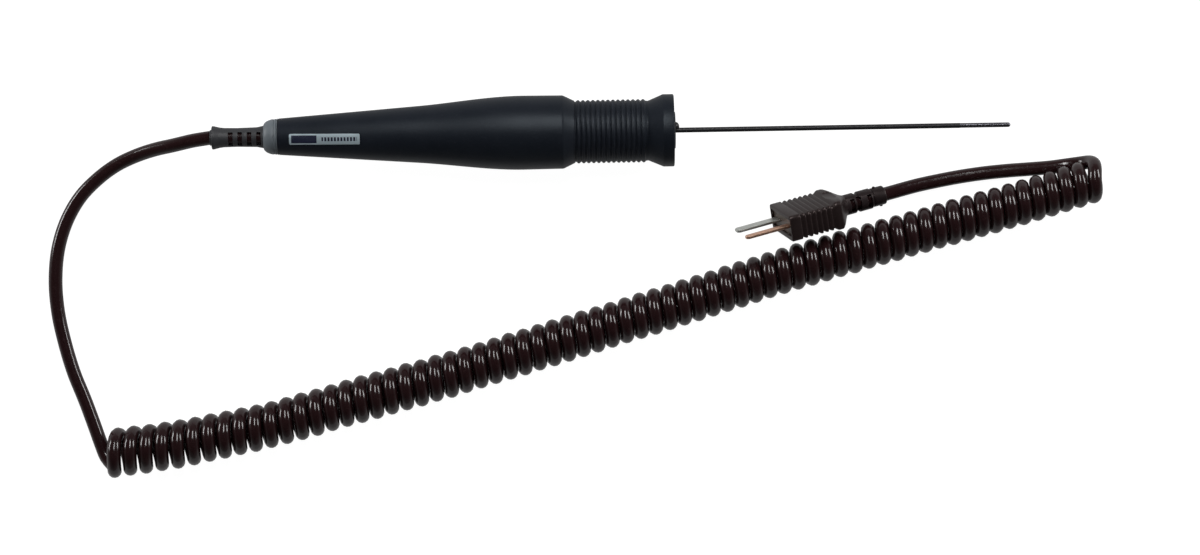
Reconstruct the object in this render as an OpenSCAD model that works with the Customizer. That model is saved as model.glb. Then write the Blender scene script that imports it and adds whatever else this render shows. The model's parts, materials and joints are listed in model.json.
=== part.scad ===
// Hand-held penetration thermocouple: a moulded handle with a thin sheathed
// stem, a curly extension cord and a miniature thermocouple plug.
// The probe's axis lies along +X, the stem's tip points to +X, and Z = 0 is
// the surface that the handle's widest ring rests on.

/* [Stem] */
// Length of stem that stands out of the handle
stem_l = 100; // [60:1:150]
// Diameter over the stem's coating
stem_d = 1.5; // [1.4:0.1:3]
// Thickness of the stem's coating
coating_t = 0.04; // [0.02:0.01:0.08]
// Length of bare sheath at the tip
bare_tip_l = 15; // [5:1:30]

/* [Handle] */
// Length of the tapered body
body_l = 88.2; // [80:0.1:110]
// Length of the straight cone at the body's rear end
cone_l = 41.7; // [30:0.1:50]
// Diameter of the body's rear face
body_rear_d = 10.8; // [10.8:0.1:12]
// Diameter at the front end of the straight cone
cone_front_d = 16.9; // [16:0.1:18]
// Largest diameter of the handle
handle_d = 22; // [20:0.1:26]
// Length of the ribbed nose in front of the body
nose_l = 29.45; // [28:0.05:36]
// Diameter over the nose's grip rings
grip_d = 18.8; // [18.4:0.1:19.4]
// Number of grip rings
grip_rings = 14; // [8:1:14]
// Diameter of the nose's front rim
rim_d = 21.5; // [20:0.1:22]
// Length of the domed rear cap
cap_l = 4.2; // [3.6:0.1:6]
// Length of the cable boot
boot_l = 16.05; // [16.05:0.05:18]

/* [Cord] */
// Diameter of the cord
cord_d = 4.2; // [3.8:0.1:4.2]
// Outer diameter of the coil at its handle end
coil_start_d = 15; // [14:0.1:16]
// Outer diameter of the coil along its middle
coil_d = 14; // [13:0.1:15]
// Outer diameter of the coil at its plug end
coil_end_d = 13.4; // [13:0.1:15]

/* [Plug] */
// Width across the plug's two blades
plug_w = 16.3; // [16:0.1:17]
// Thickness of the plug's front band
plug_t = 8; // [7.6:0.1:8.4]
// Length of the ribbed block
plug_l = 16.5; // [16.5:0.1:18]
// Distance between the centres of the blades
blade_spacing = 7.92; // [7.5:0.01:8]
// Length of blade in front of the plug
blade_l = 13; // [10:0.5:14]
// Width of the copper blade
copper_blade_w = 2.4; // [2.2:0.1:2.6]
// Width of the constantan blade
constantan_blade_w = 3.2; // [3:0.1:3.4]

/* [Hidden] */

$fn = 64;
sliver = 0.01;      // a cutter's reach past a face
play = 0.02;        // radial clearance between nested round pieces
fit_gap = 0.05;     // radial clearance between moulded pieces

// Stations along the probe's axis
total_l = boot_l + cap_l + body_l + nose_l + stem_l;
x_boot = -total_l / 2;
x_cap = x_boot + boot_l;
x_body = x_cap + cap_l;
x_nose = x_body + body_l;
x_face = x_nose + nose_l;
x_tip = x_face + stem_l;
axis_z = handle_d / 2;

// Handle body
crown_flat_l = 12;      // cylinder at the largest diameter
chamfer_l = 3.5;        // step down to the ribbed nose
chamfer_d = 18.4;
crown_l = body_l - cone_l - crown_flat_l - chamfer_l;
crown_steps = 14;
rear_bore_d = 7.2;
rear_bore_l = 29;
cavity_d = 10.4;
cavity_l = body_l - rear_bore_l - 16;
socket_d = 14.4;        // takes the nose's spigot

// Nose
spigot_l = 16;
grip_l = 21.7;
grip_root_d = grip_d - 0.9;
flare_l = 4.5;
rim_edge = 0.3;
nose_bore_d = 10;
nose_bore_l = spigot_l + 19;
bush_d = 5.2;
bush_disc_d = 11;
bush_disc_t = 1.2;
bush_seat = 0.8;        // depth of the disc's seat in the nose

// Cap and boot
cap_rim_d = 6.8;
cap_spigot_l = 7.5;
cable_bore_d = cord_d + 2 * fit_gap;
sleeve_end_d = 4.7;       // short sleeve behind the boot's lip
lip_d = 7.07;
boot_d = 5.9;
boot_waist_d = 5.6;
boot_flare_l = 2.1;     // where the boot widens to meet the cap
window_l = 1.4;         // windows that show the cord through the boot
window_w = 4.25;
window_pitch = 2.8;
window_turn = 18;       // turned towards -Y from the top
windows = 4;

// Label
label_t = 0.12;
label_start = 3.7;      // behind it, the rest of the cone is plain
label_l = 21;
label_w = 3.2;
label_lean = 11;        // turned towards -Y from the top

// Wires
core_gap = 0.85;        // half the distance between the two cores
core_r = 0.6;
conductor_r = 0.25;
jacket_inner_l = 35;    // cord jacket inside the boot, the cap and the body
core_inner_l = 85;      // insulated cores, from the boot's rear end
conductor_inner_l = 91;
sleeve_r = 0.75;
sleeve_l = 8;
thermo_r = 0.12;
thermo_gap = 0.3;
anchor_d = 6.6;
anchor_l = 4;

// Stem
sheath_r = stem_d / 2 - coating_t;
insulation_r = sheath_r - 0.16;
sheath_root_l = 25;     // sheath behind the nose's front face
pot_r = 2.4;
pot_l = 21;
pot_wall = 0.3;
resin_l = 6;            // resin behind the sheath's rear end
junction_r = 0.36;
tip_wall = 0.45;

// Plug, in its own frame: +x runs from the front face back to the cord
plug_at = [50.2, -28.15, 13.16];
plug_turn = [110, 15, 14.6];
band_l = 3.3;
rib_pitch = 1.68;
ribs = 6;
rib_h = 0.5;
hump_t = plug_t + 0.9;
shoulder_l = 4.1;
neck_l = 12.8;
neck_d = 6.2;
neck_end_d = 5;
groove_d = 5.2;
carrier_w = 14.6;
carrier_t = 5;
carrier_l = 6.5;
rim_depth = 0.7;
blade_t = 0.8;
blade_root_l = 8;
blade_slot = 0.04;
crimp_r = 0.9;
crimp_l = 3.5;
wire_room_l = 14.6;     // hollow behind the carrier, where the wires spread
plug_total_l = plug_l + shoulder_l + neck_l;

// Route of the cord between the boot and the coil
LEAD = [[-118.95, 0, 11], [-124, -0.7, 10.5], [-130, -1.9, 8.9], [-136, -3, 6.6],
    [-142, -4.7, 4.3], [-148, -7.3, 2.8], [-154, -11.5, 2.2], [-159, -16.5, 2.1],
    [-163, -23, 2.1], [-165.8, -31, 2.1], [-167, -41, 2.1], [-166.4, -51, 2.1],
    [-164.6, -60, 2.1], [-161.9, -69.5, 2.1], [-158.8, -77.5, 2.1], [-155.8, -86, 2.1],
    [-154.1, -91, 2.1], [-152.6, -94.8, 2.3]];
// Axis of the coil, seen from above
COIL = [[-151.2, -93.5], [-133, -91.4], [-119, -88.9], [-101, -85.3], [-78, -79.2],
    [-52, -72.4], [-26, -65], [0, -57.4], [26, -49.8], [51, -42.3], [77, -35.2],
    [103, -28.3], [123, -23], [143.5, -17]];
// Route of the cord between the coil and the plug
TAIL = [[143.7, -13.8, 11.8], [143.8, -12, 9], [142.9, -11.4, 5.8],
    [140.4, -11.6, 3.4], [137, -12, 2.3],
    [132, -12.6, 2.1], [126, -13, 2.1], [119, -13.4, 2.1], [112, -14, 2.1],
    [105, -14.9, 2.1], [98, -16.1, 2.3], [92, -17.3, 2.7]];

// ---------------------------------------------------------------- helpers

// Puts a shape drawn along +Z on the probe's axis, from station x
module along(x) {
    translate([x, 0, axis_z]) rotate([0, 90, 0]) children();
}

// Round bar on the probe's axis
module bar(x, l, r) {
    along(x) cylinder(h = l, r = r);
}

// Round bar parallel to the probe's axis, at a sideways offset y
module side_bar(x, l, r, y) {
    translate([0, y, 0]) bar(x, l, r);
}

// Ring on the probe's axis
module ring(x, l, outer_r, inner_r) {
    difference() {
        bar(x, l, outer_r);
        bar(x - sliver, l + 2 * sliver, inner_r);
    }
}

// Solid of revolution: points are [distance along the axis, radius]
module turned(x, points) {
    along(x) rotate_extrude() polygon([for (p = points) [p[1], p[0]]]);
}

// Puts a shape drawn in the plug's own frame in its place
module in_plug() {
    translate(plug_at) rotate(plug_turn) children();
}

// Round bar along the plug's own axis, at a sideways offset y
module plug_bar(x, l, r, y = 0) {
    translate([x, y, 0]) rotate([0, 90, 0]) cylinder(h = l, r = r);
}

function unit(v) = v / norm(v);
function flat_unit(v) = unit([v[0], v[1], 0]);
function tangent(p, i) = unit(p[min(i + 1, len(p) - 1)] - p[max(i - 1, 0)]);
function side_of(t) = flat_unit(cross([0, 0, 1], t));

// Tube swept along a list of points, with one radius per point
module tube(p, radii, sides) {
    n = len(p);
    rings = [for (i = [0 : n - 1])
        let (t = tangent(p, i), s = side_of(t), u = cross(t, s))
        for (k = [0 : sides - 1])
        let (a = 360 * k / sides)
        p[i] + radii[i] * (cos(a) * s + sin(a) * u)];
    first = [for (k = [0 : sides - 1]) k];
    last = [for (k = [sides - 1 : -1 : 0]) (n - 1) * sides + k];
    walls = [for (i = [0 : n - 2], k = [0 : sides - 1])
        let (a = i * sides + k, b = i * sides + (k + 1) % sides)
        [b, a, a + sides, b + sides]];
    polyhedron(points = rings, faces = concat([first], walls, [last]));
}

module plain_tube(p, r, sides = 8) {
    tube(p, [for (q = p) r], sides);
}

function reversed(p) = [for (i = [len(p) - 1 : -1 : 0]) p[i]];

// Point of the plug's frame in the part's frame
function turn_x(v, a) = [v[0], v[1] * cos(a) - v[2] * sin(a), v[1] * sin(a) + v[2] * cos(a)];
function turn_y(v, a) = [v[0] * cos(a) + v[2] * sin(a), v[1], -v[0] * sin(a) + v[2] * cos(a)];
function turn_z(v, a) = [v[0] * cos(a) - v[1] * sin(a), v[0] * sin(a) + v[1] * cos(a), v[2]];
function from_plug(v) = plug_at
    + turn_z(turn_y(turn_x(v, plug_turn[0]), plug_turn[1]), plug_turn[2]);

// ---------------------------------------------------------------- handle

// Smooth step from the cone to the crown: a cubic with the cone's slope at
// its start and no slope at its end
cone_slope = (cone_front_d - body_rear_d) / 2 / cone_l;
function crown_r(t) = (1 - 3 * t * t + 2 * t * t * t) * cone_front_d / 2
    + (3 * t * t - 2 * t * t * t) * handle_d / 2
    + (t - 2 * t * t + t * t * t) * cone_slope * crown_l;
function body_outline() = concat(
    [[0, body_rear_d / 2]],
    [for (i = [0 : crown_steps])
        [cone_l + crown_l * i / crown_steps, crown_r(i / crown_steps)]],
    [[body_l - chamfer_l, handle_d / 2 - 0.1], [body_l, chamfer_d / 2]]);

module handle_body() {
    color("#23262e") difference() {
        turned(x_body, concat([[0, 0]], body_outline(), [[body_l, 0]]));
        bar(x_body - sliver, rear_bore_l + 2 * sliver, rear_bore_d / 2);
        bar(x_body + rear_bore_l, cavity_l + sliver, cavity_d / 2);
        bar(x_body + rear_bore_l + cavity_l, spigot_l + sliver, socket_d / 2);
    }
}

// One grip ring rises and falls within a pitch
grip_pitch = grip_l / (grip_rings + 0.6);
function grip_outline() = concat(
    [[0, grip_root_d / 2]],
    [for (i = [0 : grip_rings - 1], q = [[0.24, 0], [0.52, 1], [0.86, 1], [1.14, 0]])
        [(i + q[0]) * grip_pitch, (grip_root_d + q[1] * (grip_d - grip_root_d)) / 2]],
    [[grip_l, grip_root_d / 2 - 0.1]]);

module grip_nose() {
    rim_x = grip_l + flare_l;
    color("#23262e") difference() {
        union() {
            turned(x_nose, concat([[0, 0]], grip_outline(),
                [[rim_x, rim_d / 2 - 0.1], [rim_x + rim_edge, rim_d / 2],
                [nose_l - rim_edge, rim_d / 2], [nose_l, rim_d / 2 - rim_edge], [nose_l, 0]]));
            bar(x_nose - spigot_l + fit_gap, spigot_l, socket_d / 2 - fit_gap);
        }
        bar(x_nose - spigot_l - sliver, nose_bore_l + sliver, nose_bore_d / 2);
        bar(x_nose, nose_l, bush_d / 2);
        bar(x_face - bush_seat, bush_seat + sliver, bush_disc_d / 2 + play);
    }
}

module nose_bush() {
    bush_l = nose_l - (nose_bore_l - spigot_l);
    color("#3a3d42") difference() {
        union() {
            bar(x_face - bush_l, bush_l, bush_d / 2 - play);
            turned(x_face - bush_seat, [[0, 0], [0, bush_disc_d / 2],
                [bush_disc_t - 0.2, bush_disc_d / 2], [bush_disc_t, bush_disc_d / 2 - 0.2],
                [bush_disc_t, 0]]);
        }
        bar(x_face - bush_l - sliver, bush_l + bush_disc_t, sheath_r + play);
    }
}

// Bead of adhesive, set a little to one side of the stem
module stem_bead() {
    bead_r = 1.4;
    bead_h = 1.2;
    color("#1b1c20") difference() {
        translate([0, 1.1, 0]) turned(x_face + bush_disc_t - bush_seat,
            [for (a = [0 : 15 : 90]) [bead_h * sin(a), bead_r * cos(a)], [0, 0]]);
        bar(x_face, 3, stem_d / 2 + play);
    }
}

module rear_cap() {
    color("#454b4c") difference() {
        union() {
            turned(x_cap, concat([[0, 0]],
                [for (a = [75 : -15 : 0])
                    [cap_l - cap_l * sin(a) / sin(75),
                    cap_rim_d / 2 + (body_rear_d - cap_rim_d) / 2 * cos(a)]],
                [[cap_l, 0]]));
            bar(x_body - sliver, cap_spigot_l, rear_bore_d / 2 - fit_gap);
        }
        bar(x_cap - sliver, cap_l + cap_spigot_l + 1, cable_bore_d / 2);
    }
}

// Window across the probe's axis, open on both sides
module window(x, l) {
    translate([x - l / 2, 0, axis_z]) rotate([window_turn, 0, 0])
        translate([0, -window_w / 2, -handle_d / 2]) cube([l, window_w, handle_d]);
}

module cable_boot() {
    last_window = 0.7;
    flare_x = boot_l - boot_flare_l;
    color("#2c2e33") difference() {
        turned(x_boot, [[0, 0], [0, sleeve_end_d / 2], [0.6, sleeve_end_d / 2],
            [0.6, lip_d / 2 - 0.15], [0.75, lip_d / 2], [1.5, lip_d / 2 - 0.15],
            [2.8, boot_d / 2 + 0.15], [4, boot_d / 2 - 0.05], [8, boot_waist_d / 2],
            [flare_x, boot_d / 2], [boot_l, cap_rim_d / 2], [boot_l, 0]]);
        bar(x_boot - sliver, boot_l + 2 * sliver, cable_bore_d / 2);
        for (i = [0 : windows - 1]) window(x_cap - last_window - window_l / 2 - i * window_pitch,
            window_l);
    }
}

// Thin label wrapped on the cone, close to its rear end
module identification_label() {
    r0 = body_rear_d / 2 + label_start * cone_slope;
    r1 = r0 + label_l * cone_slope;
    color("silver") intersection() {
        turned(x_body + label_start,
            [[0, r0], [0, r0 + label_t], [label_l, r1 + label_t], [label_l, r1]]);
        translate([x_body, 0, axis_z]) rotate([label_lean, 0, 0])
            translate([0, -label_w / 2, 0]) cube([body_l, label_w, handle_d]);
    }
}

// ---------------------------------------------------------------- stem

module transition_pot() {
    color("#9a9ea3") ring(x_face - sheath_root_l - resin_l, pot_l, pot_r, pot_r - pot_wall);
}

module pot_resin() {
    x = x_face - sheath_root_l - resin_l;
    color("#5a4632") difference() {
        bar(x, pot_l - 0.5, pot_r - pot_wall);
        bar(x + resin_l, pot_l, sheath_r);
        for (s = [-1, 1]) side_bar(x - sliver, resin_l + 1, thermo_r + play, s * thermo_gap);
    }
}

module stem_coating() {
    start = bush_disc_t - bush_seat;
    color("#202226") ring(x_face + start, stem_l - bare_tip_l - start, stem_d / 2, sheath_r);
}

module stem_sheath() {
    l = stem_l + sheath_root_l;
    color("#b9bcc0") difference() {
        turned(x_face - sheath_root_l, concat([[0, 0], [0, sheath_r]],
            [for (a = [0 : 15 : 90]) [l - sheath_r + sheath_r * sin(a), sheath_r * cos(a)]]));
        bar(x_face - sheath_root_l - sliver, l - tip_wall, insulation_r);
    }
}

module mineral_insulation() {
    l = stem_l + sheath_root_l - tip_wall - 2 * junction_r - 0.1;
    color("#e9e6de") difference() {
        bar(x_face - sheath_root_l, l, insulation_r - 0.01);
        for (s = [-1, 1])
            side_bar(x_face - sheath_root_l - sliver, l + 1, thermo_r + 0.01, s * thermo_gap);
    }
}

// Wire from a splice sleeve, through the pot and the stem, to the junction
module thermoelement(s) {
    splice_x = x_boot + conductor_inner_l;
    pot_x = x_face - sheath_root_l - resin_l;
    end_x = x_tip - tip_wall - junction_r * 1.6;
    plain_tube([[splice_x + 0.4, s * core_gap, axis_z],
        [splice_x + 5, s * core_gap, axis_z],
        [pot_x - 1, s * thermo_gap, axis_z],
        [pot_x, s * thermo_gap, axis_z],
        [end_x, s * thermo_gap, axis_z]], thermo_r);
}

module copper_thermoelement() {
    color("#b8693d") thermoelement(1);
}

module constantan_thermoelement() {
    color("#a8a59a") thermoelement(-1);
}

module hot_junction() {
    color("#8d7a66") translate([x_tip - tip_wall - junction_r - 0.02, 0, axis_z])
        difference() {
            sphere(r = junction_r);
            for (s = [-1, 1])
                translate([-2 * junction_r, s * thermo_gap, 0]) rotate([0, 90, 0])
                    cylinder(h = junction_r * 1.7, r = thermo_r + play);
        }
}

// ---------------------------------------------------------------- handle wiring

// Two crimp sleeves that join the cord's conductors to the thermoelements
module splice_sleeves() {
    x = x_boot + conductor_inner_l - sleeve_l / 2;
    color("#c9cbce") for (s = [-1, 1]) translate([0, s * core_gap, 0])
        ring(x, sleeve_l, sleeve_r, conductor_r + play);
}

// Sleeve of insulation around both splices
module splice_insulator() {
    l = sleeve_l + 3;
    x = x_boot + conductor_inner_l - l / 2;
    color("#d8d2c0") difference() {
        bar(x, l, 2.6);
        for (s = [-1, 1]) side_bar(x - sliver, l + 2 * sliver, sleeve_r + play, s * core_gap);
    }
}

module conductor(s) {
    side_bar(x_boot, conductor_inner_l, conductor_r, s * core_gap);
}

module copper_conductor() {
    color("#b8693d") conductor(1);
}

module constantan_conductor() {
    color("#a8a59a") conductor(-1);
}

module core_insulation(s) {
    translate([0, s * core_gap, 0]) ring(x_boot, core_inner_l, core_r, conductor_r + play);
}

module copper_core_insulation() {
    color("#7a4a2c") core_insulation(1);
}

module constantan_core_insulation() {
    color("#d9d9d4") core_insulation(-1);
}

module cable_anchor() {
    x = x_body + cap_spigot_l + 0.5;
    color("#b08d57") ring(x, anchor_l, anchor_d / 2, cord_d / 2 + play);
}

module lead_jacket_end() {
    color("#2b1a1a") difference() {
        bar(x_boot, jacket_inner_l, cord_d / 2);
        for (s = [-1, 1])
            side_bar(x_boot - sliver, jacket_inner_l + 1, core_r + play, s * core_gap);
    }
}

// ---------------------------------------------------------------- cord

module lead_cord() {
    color("#2b1a1a") plain_tube(LEAD, cord_d / 2);
}

// The coil's outer shape: one fat tube that lies on the surface
coil_shrink = 3;        // points over which the first turns get smaller
function coil_r(i) = let (last = len(COIL) - 1)
    i < coil_shrink ? (coil_start_d + (coil_d - coil_start_d) * i / coil_shrink) / 2
    : (coil_d + (coil_end_d - coil_d) * (i - coil_shrink) / (last - coil_shrink)) / 2;

// Where the axis ends: half a cord beyond its end point, away from its neighbour
function coil_end(i, beside) = COIL[i] + unit(COIL[i] - COIL[beside]) * cord_d / 2;

module curly_cord() {
    last = len(COIL) - 1;
    axis = concat([coil_end(0, 1)], [for (i = [1 : last - 1]) COIL[i]],
        [coil_end(last, last - 1)]);
    color("#2b1a1a") tube([for (i = [0 : last]) [axis[i][0], axis[i][1], coil_r(i)]],
        [for (i = [0 : last]) coil_r(i)], 12);
}

module tail_cord() {
    color("#2b1a1a") plain_tube(concat(TAIL, [from_plug([plug_total_l + 2.5, 0, 0]),
        from_plug([plug_total_l, 0, 0])]), cord_d / 2);
}

module tail_jacket_end() {
    x = wire_room_l + 1;
    color("#2b1a1a") in_plug() difference() {
        plug_bar(x, plug_total_l - x, cord_d / 2);
        for (s = [-1, 1]) plug_bar(x - sliver, plug_total_l, core_r + play, s * core_gap);
    }
}

// ---------------------------------------------------------------- plug

// Half heights along the plug, ribbed between the front band and the hump
function rib_line(half, root, hump) = concat(
    [[0, half - 0.3], [0.3, half], [band_l, half]],
    [for (i = [0 : ribs - 1], q = [[0.05, root], [0.75, half], [0.95, half]])
        [band_l + (i + q[0]) * rib_pitch, q[1]]],
    [[band_l + (ribs + 0.05) * rib_pitch, root], [plug_l - 2.4, hump], [plug_l, hump]]);
function mirrored(line) = concat(line, [for (q = reversed(line)) [q[0], -q[1]]]);

function side_line() = concat(rib_line(plug_t / 2, plug_t / 2 - rib_h, hump_t / 2),
    [[plug_l + shoulder_l, neck_d / 2]]);
function plan_line() = concat(rib_line(plug_w / 2, plug_w / 2 - 0.3, plug_w / 2),
    [[plug_l + shoulder_l, neck_d / 2]]);

module plug_body() {
    color("#2c2320") in_plug() difference() {
        intersection() {
            rotate([90, 0, 0]) translate([0, 0, -plug_w])
                linear_extrude(2 * plug_w) polygon(mirrored(side_line()));
            translate([0, 0, -plug_t]) linear_extrude(2 * plug_t) polygon(mirrored(plan_line()));
        }
        pocket_l = carrier_l + rim_depth;
        translate([-sliver, -carrier_w / 2 - fit_gap, -carrier_t / 2 - fit_gap])
            cube([pocket_l + sliver, carrier_w + 2 * fit_gap, carrier_t + 2 * fit_gap]);
        translate([pocket_l - sliver, -blade_spacing / 2 - 2, -1.5])
            cube([wire_room_l - pocket_l + sliver, blade_spacing + 4, 3]);
        plug_bar(wire_room_l - sliver, plug_l, cord_d / 2 + fit_gap);
        for (s = [-1, 1]) translate([0, 0, s * (hump_t / 2 - 0.25) - 0.5])
            thumb_mark(s);
    }
}

// Shallow oval dish on each face of the hump
module thumb_mark(s) {
    translate([plug_l - 0.3, 0, s * 0.5]) hull() for (y = [-2, 2])
        translate([0, y, 0]) cylinder(h = 1, r = 1.9, $fn = 24);
}

// Collar-and-window strain relief between the plug's block and the cord
module plug_neck() {
    x = plug_l + shoulder_l;
    color("#241d1b") in_plug() difference() {
        union() {
            plug_bar(x, neck_l, groove_d / 2);
            plug_bar(x, 3.1, neck_d / 2);
            plug_bar(x + 4.3, 4.1, neck_d / 2);
            plug_bar(x + 9, neck_l - 9, neck_end_d / 2 + 0.35);
            for (q = [[9.9, -1], [11.6, 1]]) translate([x + q[0], 0, 0])
                rotate([0, q[1] > 0 ? 0 : 180, 0]) cylinder(h = neck_d / 2 + 0.2, r = 0.45);
        }
        plug_bar(x - sliver, neck_l + 2 * sliver, cord_d / 2 + fit_gap);
        for (q = [1.1, 3.2, 6.6]) translate([x + q, -neck_d, -window_w / 2])
            cube([1.4, 2 * neck_d, window_w]);
    }
}

// Lighter insert that holds the two blades, set back behind the plug's rim
module plug_carrier() {
    color("#5b4a42") in_plug() difference() {
        translate([rim_depth, -carrier_w / 2, -carrier_t / 2])
            cube([carrier_l, carrier_w, carrier_t]);
        blade_slot_cut(1, copper_blade_w);
        blade_slot_cut(-1, constantan_blade_w);
    }
}

module blade_slot_cut(s, w) {
    translate([0, s * blade_spacing / 2 - w / 2 - blade_slot, -blade_t / 2 - blade_slot])
        cube([plug_l, w + 2 * blade_slot, blade_t + 2 * blade_slot]);
}

// Flat blade with a chamfered tip and a hole for its cross pin
module blade(s, w) {
    tip = 0.7;
    in_plug() translate([0, s * blade_spacing / 2, -blade_t / 2]) difference() {
        linear_extrude(blade_t) polygon([[-blade_l, -w / 2 + tip], [-blade_l + tip, -w / 2],
            [blade_root_l, -w / 2], [blade_root_l, w / 2], [-blade_l + tip, w / 2],
            [-blade_l, w / 2 - tip]]);
        translate([rim_depth + 3, 0, -sliver]) cylinder(h = 2, r = 0.45);
    }
}

module plug_blade_copper() {
    color("#c98a62") blade(1, copper_blade_w);
}

module plug_blade_constantan() {
    color("#b9bdb6") blade(-1, constantan_blade_w);
}

// Cross pins that lock the two blades in the carrier's slots
module plug_blade_pins() {
    color("#8f9296") in_plug() for (s = [-1, 1])
        translate([rim_depth + 3, s * blade_spacing / 2, -blade_t / 2 - blade_slot])
            cylinder(h = blade_t + 2 * blade_slot, r = 0.45 - play);
}

// Crimped wire ends, one on the root of each blade
module plug_wire_crimps() {
    x = blade_root_l + 0.05;
    color("#c9cbce") in_plug() for (s = [-1, 1]) difference() {
        plug_bar(x, crimp_l, crimp_r, s * blade_spacing / 2);
        plug_bar(x + 0.6, crimp_l, core_r + play, s * blade_spacing / 2);
    }
}

// Insulated core that spreads from the jacket to its blade's crimp
module plug_wire(s) {
    x = blade_root_l + 0.8;
    outer = s * blade_spacing / 2;
    plain_tube([for (q = [[x, outer], [x + 2.9, outer], [wire_room_l - 0.5, s * core_gap],
        [wire_room_l + 1, s * core_gap], [plug_total_l, s * core_gap]])
        from_plug([q[0], q[1], 0])], core_r);
}

module plug_copper_wire() {
    color("#7a4a2c") plug_wire(1);
}

module plug_constantan_wire() {
    color("#d9d9d4") plug_wire(-1);
}

handle_body();
grip_nose();
nose_bush();
stem_bead();
rear_cap();
cable_boot();
identification_label();
transition_pot();
pot_resin();
stem_coating();
stem_sheath();
mineral_insulation();
copper_thermoelement();
constantan_thermoelement();
hot_junction();
splice_sleeves();
splice_insulator();
copper_conductor();
constantan_conductor();
copper_core_insulation();
constantan_core_insulation();
cable_anchor();
lead_jacket_end();
lead_cord();
curly_cord();
tail_cord();
tail_jacket_end();
plug_body();
plug_neck();
plug_carrier();
plug_blade_copper();
plug_blade_constantan();
plug_blade_pins();
plug_copper_wire();
plug_constantan_wire();
plug_wire_crimps();
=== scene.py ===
"""Looks of a hand-held thermocouple: tapered handle, thin stem, curly cord and miniature plug.

Sizes in the classes are millimetres and become metres when a mesh is made. Places along the
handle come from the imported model's own boxes, and the plug's frame from its mount.
"""

import json
import logging
import math
import random
from dataclasses import dataclass
from enum import Enum
from typing import Callable, Sequence

import bmesh
import bpy
from mathutils import Matrix, Vector


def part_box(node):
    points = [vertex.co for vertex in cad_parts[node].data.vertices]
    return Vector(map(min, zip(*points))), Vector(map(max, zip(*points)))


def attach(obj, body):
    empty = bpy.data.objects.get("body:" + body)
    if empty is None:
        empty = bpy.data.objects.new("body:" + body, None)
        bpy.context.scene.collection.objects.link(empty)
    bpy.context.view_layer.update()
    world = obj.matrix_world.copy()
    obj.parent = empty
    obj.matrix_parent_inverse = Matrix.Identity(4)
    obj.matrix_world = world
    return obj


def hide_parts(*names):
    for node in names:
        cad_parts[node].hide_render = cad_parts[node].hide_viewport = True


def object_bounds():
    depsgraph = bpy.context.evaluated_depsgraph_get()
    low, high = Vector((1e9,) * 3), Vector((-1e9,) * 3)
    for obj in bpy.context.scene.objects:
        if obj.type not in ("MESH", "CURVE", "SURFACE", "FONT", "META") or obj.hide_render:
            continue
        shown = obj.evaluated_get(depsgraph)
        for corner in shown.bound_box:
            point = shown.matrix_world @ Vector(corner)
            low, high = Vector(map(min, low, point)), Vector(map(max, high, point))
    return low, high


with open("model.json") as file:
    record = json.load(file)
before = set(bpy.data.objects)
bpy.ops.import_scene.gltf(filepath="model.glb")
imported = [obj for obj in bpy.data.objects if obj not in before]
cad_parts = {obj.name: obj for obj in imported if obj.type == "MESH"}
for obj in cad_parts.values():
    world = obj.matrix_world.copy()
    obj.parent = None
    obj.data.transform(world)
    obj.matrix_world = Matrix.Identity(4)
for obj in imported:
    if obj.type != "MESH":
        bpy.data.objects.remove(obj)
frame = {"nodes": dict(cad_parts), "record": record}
cad_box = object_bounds()

Point = tuple[float, float, float]
Outline = list[tuple[float, float]]
Colour = tuple[float, float, float, float]

log = logging.getLogger("thermocouple")

MM = 0.001
BODY = "root"
SMOOTH_ANGLE = math.radians(34)
TAU = 2 * math.pi


class Axis(Enum):
    """Direction that a cutter's long side follows in a piece's own frame."""

    SIDEWAYS = 1
    UPWARDS = 2


class Solid(Enum):
    """What a boolean does with its second shape."""

    CUT = "DIFFERENCE"
    JOIN = "UNION"


# ------------------------------------------------------------------ mesh helpers


def new_piece(name: str, verts: Sequence[Vector], faces: Sequence[Sequence[int]]) -> bpy.types.Object:
    """Makes a smooth-shaded object whose faces all point outwards.

    Args:
        name: The object's name.
        verts: Its points in metres.
        faces: Its faces, as lists of point numbers.

    Returns:
        The new object, linked to the scene.
    """
    mesh = bpy.data.meshes.new(name)
    mesh.from_pydata([tuple(v) for v in verts], [], [tuple(f) for f in faces])
    build = bmesh.new()
    build.from_mesh(mesh)
    bmesh.ops.recalc_face_normals(build, faces=build.faces)
    build.to_mesh(mesh)
    build.free()
    piece = bpy.data.objects.new(name, mesh)
    bpy.context.scene.collection.objects.link(piece)
    smooth(piece)
    return piece


def smooth(piece: bpy.types.Object) -> None:
    """Shades a piece smooth, with its real edges kept sharp.

    Args:
        piece: The object to shade.
    """
    piece.data.shade_smooth()
    piece.data.set_sharp_from_angle(angle=SMOOTH_ANGLE)


@dataclass(frozen=True)
class Corner:
    """A corner of an outline, with the radius that rounds it."""

    x: float
    r: float
    fillet: float = 0.0


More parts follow.
